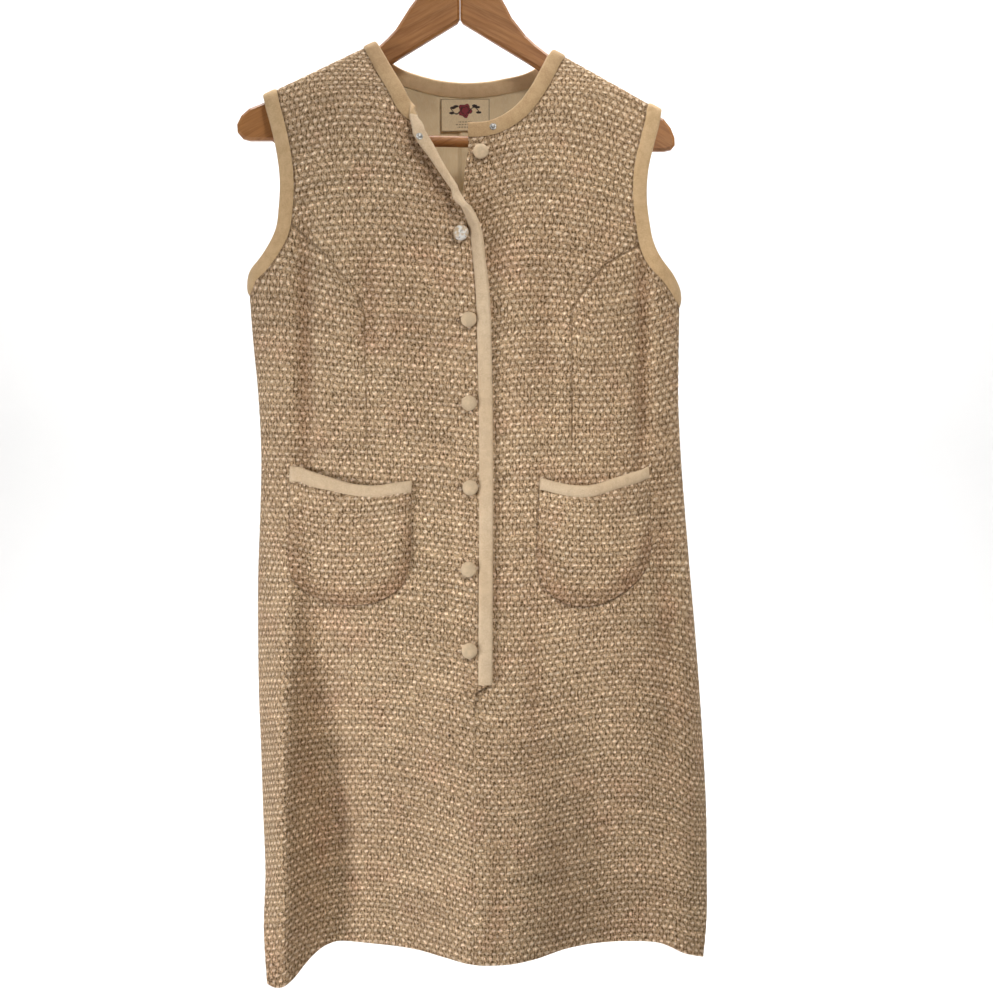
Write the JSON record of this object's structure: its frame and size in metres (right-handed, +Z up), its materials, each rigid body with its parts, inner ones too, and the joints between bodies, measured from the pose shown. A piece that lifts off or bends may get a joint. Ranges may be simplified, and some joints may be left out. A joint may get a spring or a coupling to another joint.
{
  "type": "sheath dress on a wooden hanger",
  "caption": "Sleeveless tweed sheath dress with a buttoned front placket, bound edges and patch pockets, hung on a wooden hanger.",
  "frame": {"origin": "inside the crown of the hanger hook, where a rail bears", "axes": "+Z up, along the dress from hem to hook; the dress faces -Y; the wearer's left is +X"},
  "size_m": [0.4778, 0.1698, 1.0821],
  "materials": {
    "tweed": "rough nubby weave",
    "felt": "matt felted binding",
    "lining": "smooth lining",
    "label": "woven satin label",
    "button_cloth": "cloth-covered button",
    "hanger_wood": "satin lacquer",
    "hook_metal": "plated wire",
    "snap_metal": "sew-on snap"
  },
  "bodies": {
    "root": {"front_right": "tweed", "front_left": "tweed", "back": "tweed", "pocket_right": "tweed", "pocket_left": "tweed", "pocket_binding_right": "felt", "pocket_binding_left": "felt", "placket_binding": "felt", "neck_binding_right": "felt", "neck_binding_left": "felt", "neck_binding_back": "felt", "armhole_binding_right": "felt", "armhole_binding_left": "felt", "back_lining": "lining", "neck_label": "label", "button_1": "button_cloth", "button_2": "button_cloth", "button_3": "button_cloth", "button_4": "button_cloth", "button_5": "button_cloth", "button_6": "button_cloth", "button_7": "button_cloth", "snap_right": "snap_metal", "snap_left": "snap_metal", "hanger_arm_right": "hanger_wood", "hanger_arm_left": "hanger_wood", "hanger_bar": "hanger_wood", "hanger_hook": "hook_metal"}
  },
  "joints": []
}
